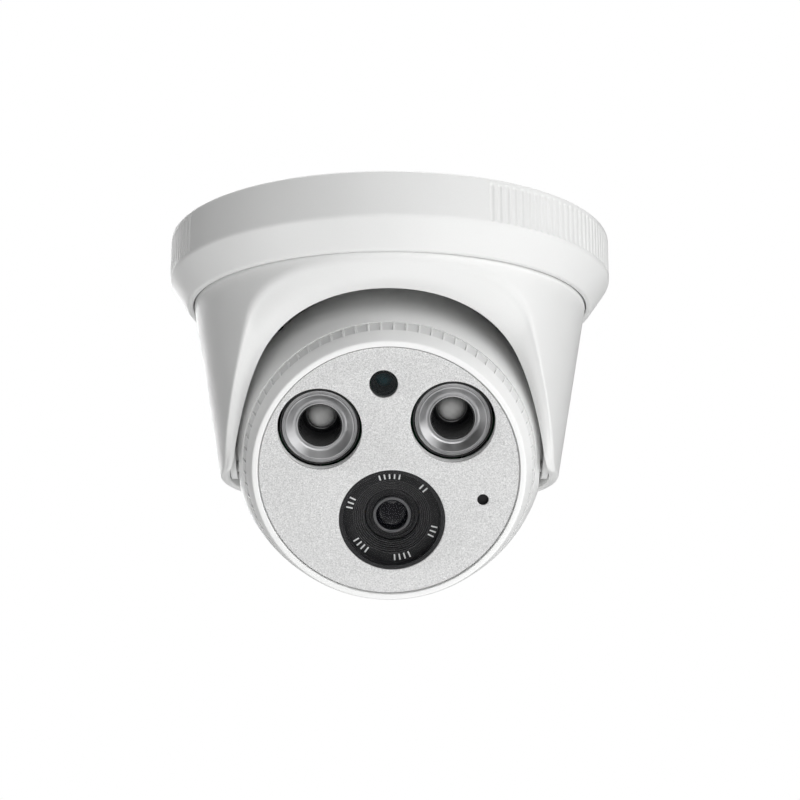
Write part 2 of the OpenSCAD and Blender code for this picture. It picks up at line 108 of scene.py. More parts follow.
class Nodes:
    """Small helper that builds one node material."""

    def __init__(self, name):
        self.material = bpy.data.materials.new(name)
        self.material.use_nodes = True
        self.tree = self.material.node_tree
        self.shader = self.tree.nodes["Principled BSDF"]
        self.place = self.add("ShaderNodeTexCoord").outputs["Object"]

    def add(self, kind, **settings):
        """New node of a kind, with its settings."""
        node = self.tree.nodes.new(kind)
        for key, value in settings.items():
            setattr(node, key, value)
        return node

    def link(self, source, target):
        self.tree.links.new(source, target)

    def noise(self, size, detail=2.0, roughness=0.5, place=None):
        """Noise whose features are about size millimetres wide."""
        node = self.add("ShaderNodeTexNoise")
        node.inputs["Scale"].default_value = 1 / (size * MM)
        node.inputs["Detail"].default_value = detail
        node.inputs["Roughness"].default_value = roughness
        self.link(place or self.place, node.inputs["Vector"])
        return node.outputs["Fac"]

    def cells(self, size, output):
        """Voronoi cells about size millimetres wide."""
        node = self.add("ShaderNodeTexVoronoi")
        node.inputs["Scale"].default_value = 1 / (size * MM)
        self.link(self.place, node.inputs["Vector"])
        return node.outputs[output]

    def ramp(self, source, *stops):
        """Colour ramp with stops of (position, colour or grey)."""
        node = self.add("ShaderNodeValToRGB")
        elements = node.color_ramp.elements
        while len(elements) < len(stops):
            elements.new(0.5)
        for element, (position, value) in zip(elements, stops):
            element.position = position
            element.color = (value,) * 3 + (1,) if isinstance(value, float) else (*value, 1)
        self.link(source, node.inputs["Fac"])
        return node.outputs["Color"]

    def mix(self, factor, a, b):
        """Colour mix of a and b, each a socket or a plain colour."""
        node = self.add("ShaderNodeMix", data_type="RGBA")
        for socket, value in ((0, factor), (6, a), (7, b)):
            if isinstance(value, bpy.types.NodeSocket):
                self.link(value, node.inputs[socket])
            else:
                node.inputs[socket].default_value = value if socket == 0 else (*value, 1)
        return node.outputs[2]

    def bump(self, height, depth, strength, normal=None):
        """Bump of depth millimetres, on top of another one if normal is given."""
        node = self.add("ShaderNodeBump")
        node.inputs["Strength"].default_value = strength
        node.inputs["Distance"].default_value = depth * MM
        self.link(height, node.inputs["Height"])
        if normal:
            self.link(normal, node.inputs["Normal"])
        return node.outputs["Normal"]

    def set(self, **values):
        """Sets or links inputs of the shader; underscores in a name stand for spaces."""
        for key, value in values.items():
            socket = self.shader.inputs[key.replace("_", " ")]
            if isinstance(value, bpy.types.NodeSocket):
                self.link(value, socket)
            else:
                socket.default_value = (*value, 1) if isinstance(value, tuple) else value
        return self.material


def scaled(colour, factor):
    """Lighter or darker colour."""
    return tuple(min(1.0, c * factor) for c in colour)


def moulded_plastic(name, colour, roughness=0.42, grain=0.22):
    """Moulded plastic: fine spark-eroded grain, faint flow marks and uneven gloss."""
    m = Nodes(name)
    flow = m.noise(34, 3.0)
    speck = m.noise(grain, 2.0)
    tint = m.ramp(flow, (0.3, scaled(colour, 0.975)), (0.7, scaled(colour, 1.015)))
    speckle = m.ramp(speck, (0.35, scaled(colour, 0.7)), (0.65, scaled(colour, 1.1)))
    tint = m.mix(0.05, tint, speckle)
    gloss = m.ramp(m.noise(9, 4.0), (0.3, roughness - 0.05), (0.7, roughness + 0.06))
    normal = m.bump(speck, 0.006, 0.6, m.bump(m.noise(5.5, 1.0), 0.02, 0.35))
    return m.set(Base_Color=tint, Roughness=gloss, Normal=normal)


def sparkle_paint(name):
    """Silver paint with metal flakes, under a thin clear coat."""
    m = Nodes(name)
    flake = m.cells(0.34, "Color")
    grain = m.noise(0.32, 2.0, 0.75)
    shade = m.ramp(grain, (0.28, (0.42, 0.422, 0.42)), (0.5, (0.65, 0.652, 0.65)),
                   (0.74, (0.94, 0.94, 0.936)))
    tone = m.mix(0.2, shade, m.ramp(flake, (0.1, 0.40), (0.9, 1.0)))
    gloss = m.ramp(grain, (0.3, 0.42), (0.7, 0.6))
    normal = m.bump(flake, 0.018, 0.35, m.bump(grain, 0.02, 0.4))
    return m.set(Base_Color=tone, Roughness=gloss, Normal=normal, Metallic=0.25,
                 Coat_Weight=0.12, Coat_Roughness=0.42)


def dark_part(name, colour, roughness, grain=0.3, depth=0.006, **extra):
    """Dark or plain moulding with a fine grain and uneven gloss."""
    m = Nodes(name)
    speck = m.noise(grain, 3.0)
    tint = m.ramp(m.noise(6, 3.0), (0.3, scaled(colour, 0.8)), (0.7, scaled(colour, 1.25)))
    gloss = m.ramp(m.noise(2.5, 3.0), (0.3, max(0.03, roughness - 0.07)), (0.7, roughness + 0.07))
    return m.set(Base_Color=tint, Roughness=gloss, Normal=m.bump(speck, depth, 0.5), **extra)


def clear_part(name, colour, alpha, roughness=0.03):
    """Clear moulding or glass, shown as a glossy skin that lets most light through."""
    m = Nodes(name)
    film = m.ramp(m.noise(7, 3.0), (0.3, roughness), (0.75, roughness + 0.02))
    tint = m.ramp(m.noise(3, 2.0), (0.3, scaled(colour, 0.94)), (0.7, scaled(colour, 1.04)))
    return m.set(Base_Color=tint, Roughness=film, Alpha=alpha, IOR=1.49)


def brushed_metal(name, colour, roughness=0.3, streak=(0.12, 2.5, 0.12)):
    """Metal with fine lines; streak is their size along each axis."""
    m = Nodes(name)
    stretch = m.add("ShaderNodeMapping")
    stretch.inputs["Scale"].default_value = tuple(1 / s for s in streak)
    m.link(m.place, stretch.inputs["Vector"])
    lines = m.noise(1.0, 3.0, 0.6, stretch.outputs["Vector"])
    tint = m.ramp(lines, (0.3, scaled(colour, 0.82)), (0.7, scaled(colour, 1.1)))
    gloss = m.ramp(lines, (0.3, roughness - 0.08), (0.7, roughness + 0.12))
    return m.set(Base_Color=tint, Roughness=gloss, Metallic=1.0, Normal=m.bump(lines, 0.004, 0.5))


def circuit_board(name):
    """Green solder mask over a faint pattern of copper tracks."""
    m = Nodes(name)
    tracks = m.cells(2.2, "Distance")
    green = m.ramp(tracks, (0.42, (0.012, 0.10, 0.045)), (0.5, (0.03, 0.2, 0.085)))
    speck = m.ramp(m.noise(0.5, 3.0), (0.3, (0.01, 0.09, 0.04)), (0.7, (0.05, 0.26, 0.11)))
    green = m.mix(0.25, green, speck)
    return m.set(Base_Color=green, Roughness=m.ramp(m.noise(3, 2.0), (0.3, 0.25), (0.7, 0.42)),
                 Normal=m.bump(tracks, 0.03, 0.4))


WHITE = moulded_plastic("white_abs", (0.78, 0.783, 0.777))
WHITE_HEAD = moulded_plastic("white_abs_head", (0.90, 0.903, 0.897), roughness=0.36)
# Matt white for the grip pockets. Its colour, darker than the head's white, is painted shade in the pockets; the
# higher roughness is the real matt finish.
WHITE_GRIP_PAINTED_SHADE = moulded_plastic("white_abs_matt_painted_shade", (0.77, 0.773, 0.768), roughness=0.6)
SILVER = sparkle_paint("silver_sparkle")
BLACK = dark_part("black_plastic", (0.011, 0.011, 0.012), 0.44, Specular_IOR_Level=0.32)
BLACK_GLOSS = dark_part("black_gloss", (0.010, 0.010, 0.011), 0.2)
BLACK_RUBBER = dark_part("black_rubber", (0.022, 0.022, 0.023), 0.62, grain=0.5, depth=0.02)
SCREEN = clear_part("window_glass", (0.01, 0.011, 0.013), 0.05)
LENS_GLASS = dark_part("coated_glass", (0.004, 0.004, 0.006), 0.12, grain=6, depth=0.002,
                       Specular_IOR_Level=0.25)
OPTIC = brushed_metal("metallised_acrylic", (0.44, 0.44, 0.445), 0.38, (9, 9, 9))
ANODISED = brushed_metal("black_anodised", (0.17, 0.17, 0.175), 0.36)
TINTED = clear_part("tinted_acrylic", (0.003, 0.006, 0.007), 0.45, 0.06)
LED = dark_part("led_epoxy", (0.72, 0.72, 0.71), 0.55)
TEAL = dark_part("sensor_epoxy", (0.0, 0.20, 0.25), 0.3)
# Dark grey for the light trap's ribs, lighter than the black shroud: a painted highlight on the rib edges.
RIB_PAINTED_HIGHLIGHT = dark_part("rib_painted_highlight_grey", (0.07, 0.07, 0.072), 0.4)
ALUMINIUM = brushed_metal("satin_aluminium", (0.60, 0.61, 0.62), 0.34)
STEEL_METAL = brushed_metal("zinc_steel", (0.58, 0.59, 0.60), 0.36)
BRASS = brushed_metal("turned_brass", (0.62, 0.47, 0.22), 0.3)
GREEN = circuit_board("circuit_board")
PACKAGE = dark_part("epoxy_package", (0.03, 0.032, 0.04), 0.5)
NYLON = moulded_plastic("nylon_connector", (0.66, 0.65, 0.58), roughness=0.5)
MARK = moulded_plastic("mark_paint", (0.88, 0.89, 0.89), roughness=0.55, grain=0.1)

# Mesh building ----------------------------------------------------------------------------------


def finish_piece(piece, material, body, replaced=()):
    """Gives a piece its material, its body and the CAD nodes that it stands for."""
    piece.data.materials.append(material)
    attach(piece, body)
    if replaced:
        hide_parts(*replaced)
    return piece


def shade_smooth(mesh, sharp_deg):
    """Smooth shading, except at edges sharper than sharp_deg."""
    for polygon in mesh.polygons:
        polygon.use_smooth = True
    mesh.set_sharp_from_angle(angle=math.radians(sharp_deg))


def mesh_piece(name, verts, faces, matrix, sharp_deg=40):
    """Mesh object from points in matrix's frame, smooth except at sharp edges."""
    mesh = bpy.data.meshes.new(name)
    mesh.from_pydata([matrix @ Vector(v) for v in verts], [], faces)
    bm = bmesh.new()
    bm.from_mesh(mesh)
    bmesh.ops.remove_doubles(bm, verts=bm.verts, dist=1e-7)
    bmesh.ops.recalc_face_normals(bm, faces=bm.faces)
    bm.to_mesh(mesh)
    bm.free()
    shade_smooth(mesh, sharp_deg)
    piece = bpy.data.objects.new(name, mesh)
    bpy.context.scene.collection.objects.link(piece)
    return piece


def bend(start, corner, end, steps):
    """Points of a smooth bend at corner."""
    return [start * (1 - t) ** 2 + corner * 2 * t * (1 - t) + end * t * t
            for t in (k / steps for k in range(steps + 1))]


def rounded(points, radius, segments=5):
    """Closed profile with each corner rounded. A corner (r, z, k) takes the radius k."""
    hold = 0.07                     # from a bend to the point that keeps the flat beside it flat
    result = []
    for i, point in enumerate(points):
        here = Vector(point[:2])
        wanted = point[2] if len(point) > 2 else radius
        before = Vector(points[i - 1][:2]) - here
        after = Vector(points[(i + 1) % len(points)][:2]) - here
        room = 0.47 * min(before.length, after.length)
        if wanted <= 0 or here.x < 1e-6 or before.angle(after) > math.radians(178):
            result.append(here)
            continue
        reach = min(wanted / math.tan(before.angle(after) / 2), room)
        start = here + before.normalized() * reach
        end = here + after.normalized() * reach
        if reach + hold < room:
            result.append(start + before.normalized() * hold)
        result += bend(start, here, end, segments)
        if reach + hold < room:
            result.append(end + after.normalized() * hold)
    return result


def lathe_data(profile, steps):
    """Vertices and faces of a closed profile (r, z) turned about +Z."""
    verts, rows, faces = [], [], []
    for r, z in profile:
        if r < 1e-6:
            rows.append([len(verts)] * steps)
            verts.append((0, 0, z))
        else:
            rows.append(list(range(len(verts), len(verts) + steps)))
            verts += [(r * math.cos(TAU * k / steps), r * math.sin(TAU * k / steps), z)
                      for k in range(steps)]
    for i, row in enumerate(rows):
        other = rows[(i + 1) % len(rows)]
        for k in range(steps):
            j = (k + 1) % steps
            corners = list(dict.fromkeys((row[k], row[j], other[j], other[k])))
            if len(corners) > 2:
                faces.append(corners)
    return verts, faces


def lathe(name, profile, matrix, steps, radius):
    """Turned piece whose profile's corners are rounded by radius unless they say otherwise."""
    verts, faces = lathe_data([tuple(p) for p in rounded(profile, radius)], steps)
    return mesh_piece(name, verts, faces, matrix)


def dome_profile(r, rise, foot, steps):
    """Points (r, z, no rounding) up a domed top, between its foot and its tip."""
    return [(r * math.cos(a), foot + rise * math.sin(a), 0)
            for a in (math.pi / 2 * k / steps for k in range(1, steps))]


def grid_piece(name, rows, matrix, sharp_deg=40):
    """Closed tube of quads: rows run round the section, and each row is a closed loop."""
    count = len(rows[0])
    verts = [p for row in rows for p in row]
    faces = []
    for i in range(len(rows)):
        a, b = i * count, ((i + 1) % len(rows)) * count
        faces += [(a + k, a + (k + 1) % count, b + (k + 1) % count, b + k) for k in range(count)]
    return mesh_piece(name, verts, faces, matrix, sharp_deg)


def evaluated_mesh(source):
    """Mesh of an object with its modifiers or its curve's bevel applied."""
    bpy.context.view_layer.update()
    return bpy.data.meshes.new_from_object(
        source.evaluated_get(bpy.context.evaluated_depsgraph_get()))


def plate_with_holes(name, outer_r, holes, low, high, edge):
    """Round plate in the head's frame, with round holes and its edges rounded by edge."""
    points = 8                      # round each circle
    curve = bpy.data.curves.new(name, "CURVE")
    curve.dimensions = "2D"
    curve.fill_mode = "BOTH"
    curve.resolution_u = 24
    for centre, r in [(Vector((0, 0)), outer_r - edge)] + [(c, r + edge) for c, r in holes]:
        spline = curve.splines.new("BEZIER")
        spline.bezier_points.add(points - 1)
        spline.use_cyclic_u = True
        reach = r * 4 / 3 * math.tan(TAU / points / 4)
        for k, point in enumerate(spline.bezier_points):
            a = TAU * k / points
            out = Vector((math.cos(a), math.sin(a), 0))
            along = Vector((-math.sin(a), math.cos(a), 0))
            place = Vector((centre[0], centre[1], 0)) + out * r
            point.co = place
            point.handle_left, point.handle_right = place - along * reach, place + along * reach
    curve.extrude = (high - low) / 2 - edge
    curve.bevel_depth = edge
    curve.bevel_resolution = 3
    source = bpy.data.objects.new(name, curve)
    bpy.context.scene.collection.objects.link(source)
    mesh = evaluated_mesh(source)
    bpy.data.objects.remove(source)
    verts = [(v.co.x, v.co.y, v.co.z + (low + high) / 2) for v in mesh.vertices]
    faces = [tuple(p.vertices) for p in mesh.polygons]
    return mesh_piece(name, verts, faces, HEAD)


def join(first, *others):
    """Adds the meshes of others to first, and deletes them."""
    bm = bmesh.new()
    for piece in (first, *others):
        bm.from_mesh(piece.data)
    bm.to_mesh(first.data)
    bm.free()
    for piece in others:
        bpy.data.objects.remove(piece)
    return first


def smoothstep(x):
    """Smooth step from 0 to 1."""
    x = min(1.0, max(0.0, x))
    return x * x * (3 - 2 * x)


def at(centre):
    """Head frame moved to a place on the face."""
    return HEAD @ Matrix.Translation((centre.x, centre.y, 0))


# Trim ring --------------------------------------------------------------------------------------

GROOVE_PITCH_DEG = 2.1
GROOVE_HALF_W = 0.72
GROOVE_DEPTH = 0.26
GROOVE_COLUMNS = 12
GROOVE_START, GROOVE_END = 3.5, 12.9            # along the outside, from its top's inner edge
GRIP_ZONES_DEG = ((24, 124), (203, 303))        # from the front towards +X
WALL_FOOT_Z = -11.83                            # where the upright wall meets the chamfer


def ring_columns():
    """Angles from the front, dense where the wall is grooved, and the nearest groove's angle."""
    columns = []
    for i, (start, end) in enumerate(GRIP_ZONES_DEG):
        count = int((end - start) / GROOVE_PITCH_DEG)
        for k in range(count * GROOVE_COLUMNS):
            angle = start + k * GROOVE_PITCH_DEG / GROOVE_COLUMNS
            groove = start + (k // GROOVE_COLUMNS + 0.5) * GROOVE_PITCH_DEG
            columns.append((angle, groove))
        last = start + count * GROOVE_PITCH_DEG
        gap = (GRIP_ZONES_DEG[1 - i][0] - last) % 360
        steps = int(gap / 1.2)
        columns += [(last + gap * k / steps, None) for k in range(steps)]
    return columns


def trim_ring():
    """Ring with an upright wall, a chamfer below it and two zones of grip grooves."""
    inner_r = RING_R - 2.4
    outside = [(RING_R, RING_TOP, 0.8), (RING_R, WALL_FOOT_Z, 2.2),
               (RING_R - 5.0, RING_BOTTOM, 1.5)]
    section = rounded([(inner_r, RING_TOP, 0.3), *outside, (RING_R - 6.4, RING_BOTTOM, 0.4),
                       (RING_R - 6.4, RING_BOTTOM + 3.3), (RING_R - 4.6, RING_BOTTOM + 3.3),
                       (RING_R - 4.6, RING_BOTTOM + 6.2), (inner_r, RING_BOTTOM + 8.4)], 0.2, 7)
    # finer points on the wall, for the grooves' round ends
    dense = []
    for p, q in zip(section, section[1:] + section[:1]):
        on_outside = min(p.x, q.x) > RING_R - 2.6 and (p - q).length > 0.3
        steps = max(1, int((p - q).length / 0.25)) if on_outside else 1
        dense += [p.lerp(q, k / steps) for k in range(steps)]
    columns = ring_columns()
    travel = 0.0
    rows = []
    for i, p in enumerate(dense):
        outside_wall = p.x > RING_R - 2.9
        if outside_wall and i:
            travel += (p - dense[i - 1]).length
        beyond = max(GROOVE_START + GROOVE_HALF_W - travel, travel - GROOVE_END, 0.0)
        row = []
        for angle, groove in columns:
            r = p.x
            if outside_wall and groove is not None:
                sideways = math.radians(angle - groove) * RING_R
                near = math.hypot(sideways, beyond) / GROOVE_HALF_W
                r -= GROOVE_DEPTH * smoothstep((1 - near) * 1.6)
            a = math.radians(angle)
            row.append((r * math.sin(a), -r * math.cos(a), p.y))
        rows.append(row)
    return grid_piece("trim_ring_shell", rows, TO_MM)


finish_piece(trim_ring(), WHITE, "trim_ring", ["trim_ring"])

# Turret shell -----------------------------------------------------------------------------------

CONE_TOP_R = 53.26
CONE_BOTTOM_R = 45.1
CONE_SLOPE = (CONE_TOP_R - CONE_BOTTOM_R) / (RING_BOTTOM - RIM_Z)
NECK_R = 53.2                       # inside the trim ring
NECK_Z = -19
FLANGE_R = 55.0                     # rides on the ring's ledge
FLANGE_TOP, FLANGE_THICK = -13.3, 2.4
ARCH_R = 43.6                       # the lip's radius about the pan axis
REAR_LIP_R = 42.6
SHELL_WALL = 2.6
TIP_R = 3.4                         # rounding of the ears' front corners
EDGE_STRIP = 2.3                    # from the crease to where the cone's even rows end
# Curves (x, z) of the arch and of a leg, for the crease outside and the lip inside
CREASE_CURVES = (((0, -20.9), (16, -20.9), (33, -20.9), (35.8, -31.5)),
                 ((35.8, -31.5), (37.4, -37.5), (42, -52), (42.9, RIM_Z)))
LIP_CURVES = (((0, -25.4), (12, -25.4), (26, -28.5), (32.2, -38.2)),
              ((32.2, -38.2), (36.6, -45.1), (39.3, -56), (40.5, RIM_Z)))
ARCH_STEPS, LEG_STEPS, TIP_STEPS, REAR_STEPS = 44, 44, 12, 60
CONE_STEPS, INNER_STEPS = 18, 8
# Where the columns above the arch, a leg, a tip and the rear begin and end at the neck
NECK_ANGLES_DEG = (0, 42, 94, 99, 180)


def cone_r(z):
    """Radius of the shell's outside."""
    return CONE_BOTTOM_R + CONE_SLOPE * (z - RIM_Z)


def bezier(points, t):
    """Point on a cubic curve."""
    p = [Vector(q) for q in points]
    return (p[0] * (1 - t) ** 3 + p[1] * 3 * t * (1 - t) ** 2
            + p[2] * 3 * t * t * (1 - t) + p[3] * t ** 3)


def half_edge(curves, radius_at):
    """(angle from the front, z) from the arch's top, down a leg, round the ear's tip and back."""
    def unrolled(p):
        """Point of a curve as (angle, z)."""
        return Vector((math.asin(p.x / radius_at(p.y)), p.y))

    points = [unrolled(bezier(curves[0], k / ARCH_STEPS)) for k in range(ARCH_STEPS)]
    low, high = 0.0, 1.0
    while high - low > 1e-6:        # where the leg meets the tip's rounding
        mid = (low + high) / 2
        low, high = (mid, high) if bezier(curves[1], mid).y > RIM_Z + TIP_R else (low, mid)
    points += [unrolled(bezier(curves[1], low * k / LEG_STEPS)) for k in range(LEG_STEPS)]
    corner = unrolled(bezier(curves[1], 1.0))
    start = unrolled(bezier(curves[1], low))
    end = corner + Vector((TIP_R / CONE_BOTTOM_R, 0))
    points += bend(start, corner, end, TIP_STEPS)[:-1]
    points += [Vector((end.x + (math.pi - end.x) * k / REAR_STEPS, RIM_Z))
               for k in range(REAR_STEPS + 1)]
    return points


def whole_edge(half):
    """Both sides of an edge, from one side of it."""
    return half + [Vector((TAU - p.x, p.y)) for p in half[-2:0:-1]]


def top_angles():
    """Where each column of the shell reaches the neck, so that the columns fan out evenly."""
    half = []
    for i, steps in enumerate((ARCH_STEPS, LEG_STEPS, TIP_STEPS, REAR_STEPS)):
        start, end = NECK_ANGLES_DEG[i:i + 2]
        half += [math.radians(start + (end - start) * k / steps) for k in range(steps)]
    half.append(math.pi)
    return half + [TAU - a for a in half[-2:0:-1]]


def inward_normals(edge, radius_at):
    """Unit vectors along the surface, from the edge into the material, as (arc, z)."""
    result = []
    for k, p in enumerate(edge):
        before, after = edge[k - 1], edge[(k + 1) % len(edge)]
        turn = (after.x - before.x + math.pi) % TAU - math.pi
        along = Vector((turn * radius_at(p.y), after.y - before.y)).normalized()
        result.append(Vector((-along.y, along.x)))
    return result


def on_surface(angle, z, r):
    """Point at an angle from the front, towards +X."""
    return Vector((r * math.sin(angle), -r * math.cos(angle), z))


def turret_column(k, top, crease, lip, into_cone, into_bore):
    """Section of the shell: neck, flange, cone, edge, lip and inner face."""
    outer, inner = crease[k], lip[k]
    behind = smoothstep((min(outer.x, TAU - outer.x) - math.radians(72)) / math.radians(14))
    lip_r = ARCH_R + (REAR_LIP_R - ARCH_R) * behind
    edge = on_surface(outer.x, outer.y, cone_r(outer.y))
    mouth = on_surface(inner.x, inner.y, lip_r)

    def beside_edge(d):
        """(angle, z) on the cone, d away from the crease."""
        z = outer.y + into_cone[k].y * d
        return outer.x + into_cone[k].x * d / cone_r(z), z

    def beside_lip(d):
        """Point in the bore, d away from the lip."""
        angle = inner.x + into_bore[k].x * d / lip_r
        return on_surface(angle, inner.y + into_bore[k].y * d, lip_r)

    inner_top = on_surface(top, NECK_Z, NECK_R - SHELL_WALL)
    flange_low = FLANGE_TOP - FLANGE_THICK
    column = [inner_top]
    column += [on_surface(top, z, r) for r, z in (
        (NECK_R - SHELL_WALL, FLANGE_TOP), (FLANGE_R, FLANGE_TOP), (FLANGE_R, flange_low),
        (NECK_R, flange_low), (NECK_R, NECK_Z + 0.4))]
    # down the cone
    near_angle, near_z = beside_edge(EDGE_STRIP)
    away = (near_angle - top + math.pi) % TAU - math.pi
    for step in range(CONE_STEPS + 1):
        t = step / CONE_STEPS
        z = NECK_Z + (near_z - NECK_Z) * t
        column.append(on_surface(top + away * t, z, cone_r(z)))
    # round the crease, softer near the arch's top
    softness = 0.85 + 0.85 * smoothstep((outer.y + 50) / 25)
    across = mouth - edge
    width = across.length
    across.normalize()
    softness = min(softness, width * 0.35)
    angle, z = beside_edge(softness)
    bend_end = edge + across * softness
    column += bend(on_surface(angle, z, cone_r(z)), edge, bend_end, 8)
    # slightly crowned bevel between the crease and the lip
    lip_soft = min(0.55, width * 0.2)
    bend_start = mouth - across * lip_soft
    after, before = crease[(k + 1) % len(crease)], crease[k - 1]
    tangent = (on_surface(after.x, after.y, cone_r(after.y))
               - on_surface(before.x, before.y, cone_r(before.y)))
    outward = -tangent.cross(across).normalized()
    for step in range(1, INNER_STEPS):
        t = step / INNER_STEPS
        crown = outward * width * 0.055 * math.sin(math.pi * t)
        column.append(bend_end.lerp(bend_start, t) + crown)
    column += bend(bend_start, mouth, beside_lip(lip_soft), 5)
    # up the inside, back to the neck
    deep = beside_lip(2.4)
    column += [beside_lip(1.4), deep]
    deep_angle = math.atan2(deep.x, -deep.y)
    turn = (top - deep_angle + math.pi) % TAU - math.pi
    deep_r = math.hypot(deep.x, deep.y)
    for step in range(1, INNER_STEPS):
        t = step / INNER_STEPS
        z = deep.z + (inner_top.z - deep.z) * t
        r = deep_r + (NECK_R - SHELL_WALL - deep_r) * t
        column.append(on_surface(deep_angle + turn * t, z, r))
    return column


def turret_shell():
    """Cone with the arch cut into its front, as one closed skin."""
    crease = whole_edge(half_edge(CREASE_CURVES, cone_r))
    lip = whole_edge(half_edge(LIP_CURVES, lambda z: ARCH_R))
    into_cone = inward_normals(crease, cone_r)
    into_bore = inward_normals(lip, lambda z: ARCH_R)
    columns = [turret_column(k, top, crease, lip, into_cone, into_bore)
               for k, top in enumerate(top_angles())]
    rows = [[column[i] for column in columns] for i in range(len(columns[0]))]
    return grid_piece("turret_shell_skin", rows, TO_MM, 50)


def boss(side):
    """Moulded block that a pivot bracket is screwed to."""
    bm = bmesh.new()
    bmesh.ops.create_cube(bm, size=1.0)
    low, high = Vector((42.3, -6, -31)), Vector((50.2, 6, -20.4))
    for v in bm.verts:
        v.co = Vector(tuple(low[k] if v.co[k] < 0 else high[k] for k in range(3)))
        if v.co.z < -25 and v.co.x > 45:
            v.co.x -= 1.5           # the lower outer edge follows the cone
        v.co.x *= side
    bmesh.ops.bevel(bm, geom=list(bm.edges), offset=0.5, segments=3, affect="EDGES")
    verts = [tuple(v.co) for v in bm.verts]
    faces = [tuple(v.index for v in f.verts) for f in bm.faces]
    bm.free()
    return mesh_piece("boss", verts, faces, TO_MM)


finish_piece(join(turret_shell(), boss(-1), boss(1)), WHITE, "turret",
             ["turret_shell"])

# Eyeball ----------------------------------------------------------------------------------------


def eyeball():
    """Ball with flats for the tilt pins, cut open at its mouth and hollow."""
    along_x = BALL @ Matrix.Rotation(math.radians(90), 4, "Y")
    steps = 96
    limit = math.asin(FLAT_X / BALL_R)
    arc = [(BALL_R * math.cos(a), BALL_R * math.sin(a), 0)
           for a in (-limit + 2 * limit * k / steps for k in range(1, steps))]
    flat_r = BALL_R * math.cos(limit)
    section = [(0, -FLAT_X), (flat_r, -FLAT_X, 0.5), *arc, (flat_r, FLAT_X, 0.5), (0, FLAT_X)]
    ball = lathe("eyeball_shell", section, along_x, 256, 0.5)
    bm = bmesh.new()
    bm.from_mesh(ball.data)
    mouth = HEAD @ Vector((0, 0, MOUTH_P))
    forward = (HEAD.to_3x3() @ Vector((0, 0, 1))).normalized()
    bmesh.ops.bisect_plane(bm, geom=[*bm.verts, *bm.edges, *bm.faces], plane_co=mouth,
                           plane_no=forward, clear_outer=True)
    bm.to_mesh(ball.data)
    bm.free()
    wall = ball.modifiers.new("wall", "SOLIDIFY")
    wall.thickness = 2.4 * MM
    wall.offset = -1
    wall.use_even_offset = True
    solid = evaluated_mesh(ball)
    ball.modifiers.clear()
    ball.data = solid
    shade_smooth(solid, 40)
    pins = []
    for side in (-1, 1):
        turned = BALL @ Matrix.Rotation(math.radians(90 * side), 4, "Y")
        pins.append(lathe("pin", [(0, 37), (4, 37), (4, 42.2, 0.5), (0, 42.2)], turned, 64, 0.3))
        stub = turned @ Matrix.Translation((7 * side, 0, 0))
        pins.append(lathe("stub", [(0, 37), (1.2, 37), (1.2, 41.8, 0.3), (0, 41.8)], stub, 32, 0.2))
    return join(ball, *pins)


finish_piece(eyeball(), WHITE_HEAD, "eyeball", ["ball_rear_shell"])

# Front cover ------------------------------------------------------------------------------------

GRIP_COUNT = 72
GRIP_END = 20.9                     # the pockets are open at the cover's back edge
# Depth of a grip pocket at fractions of its pitch, as a share of its full depth
GRIP_SHAPE = ((0.0, 0.0), (0.05, 0.0), (0.10, 0.62), (0.2, 0.68), (0.35, 0.76), (0.5, 0.84),
              (0.65, 0.90), (0.78, 0.95), (0.86, 1.0), (0.90, 0.95), (0.94, 0.0))
COVER_BACK_P = 17.4
COVER_BACK_R = 38.1
POSTS = ((-16, -19), (16, -19), (0, 11))


def cover_r(p):
    """Outer radius of the cover at p along the line of sight."""
    back = p - COVER_BACK_P
    return COVER_BACK_R - 0.25 * back - 0.02 * back * back


def front_cover():
    """Cover with its bezel, and a ring of grip pockets at its back edge whose faces take a second, darker material
    as painted shade.
    """
    inner_r = PANEL_R + 0.28
    outside = [17.7, 18.2, 18.7, 19.2, 19.7, 20.2, GRIP_END - 0.2, GRIP_END - 0.1, GRIP_END,
               21.2, 21.7, 22.3, 22.9, 23.5, 24.0]
    shape = [(31.6, 11.2, 0.2), (33.2, 11.2, 0.2), (33.2, COVER_BACK_P),
             (COVER_BACK_R, COVER_BACK_P, 0.15)]
    shape += [(cover_r(p), p, 0) for p in outside]
    shape += [(cover_r(24.9), BEZEL_P, 0.75), (inner_r, BEZEL_P, 0.22), (inner_r, FACE_P - 1.02),
              (31.9, FACE_P - 1.02), (31.8, 21.9)]
    section = rounded(shape, 0.1)
    rows = []
    for p in section:
        ahead = min(1.0, max(0.0, (p.y - COVER_BACK_P) / (GRIP_END - COVER_BACK_P)))
        full = (0.22 + 0.38 * ahead) if p.y < GRIP_END - 0.05 and p.x > 35 else 0.0
        row = []
        for pocket in range(GRIP_COUNT):
            for part, depth in GRIP_SHAPE:
                angle = TAU * (pocket + part) / GRIP_COUNT
                r = min(p.x, cover_r(p.y) - depth * full) if full else p.x
                row.append((r * math.cos(angle), r * math.sin(angle), p.y))
        rows.append(row)
    cover = grid_piece("front_cover_shell", rows, HEAD, 45)
    to_head = HEAD.inverted()
    for polygon in cover.data.polygons:
        centre = to_head @ polygon.center
        in_pocket = math.hypot(centre.x, centre.y) < cover_r(centre.z) - 0.13
        # faces inside the grip pockets take slot 1, the darker white that is painted shade
        if COVER_BACK_P + 0.05 < centre.z < GRIP_END - 0.05 and in_pocket:
            polygon.material_index = 1
    return cover


def face_holes(extra=0.0):
    """Place and radius of each hole through the face, with extra clearance."""
    return [(LAMPS["left"], 10.8 + extra), (LAMPS["right"], 10.8 + extra), (LENS, 13.75 + extra),
            (EYE, 3.6 + extra), (MIC, 1.45 + extra)]


def cover_posts():
    """Screw posts behind the cover."""
    profile = [(0, -3.1), (2.6, -3.1), (2.6, 21.9), (0, 21.9)]
    return [lathe("post", profile, at(Vector(place)), 48, 0.3) for place in POSTS]


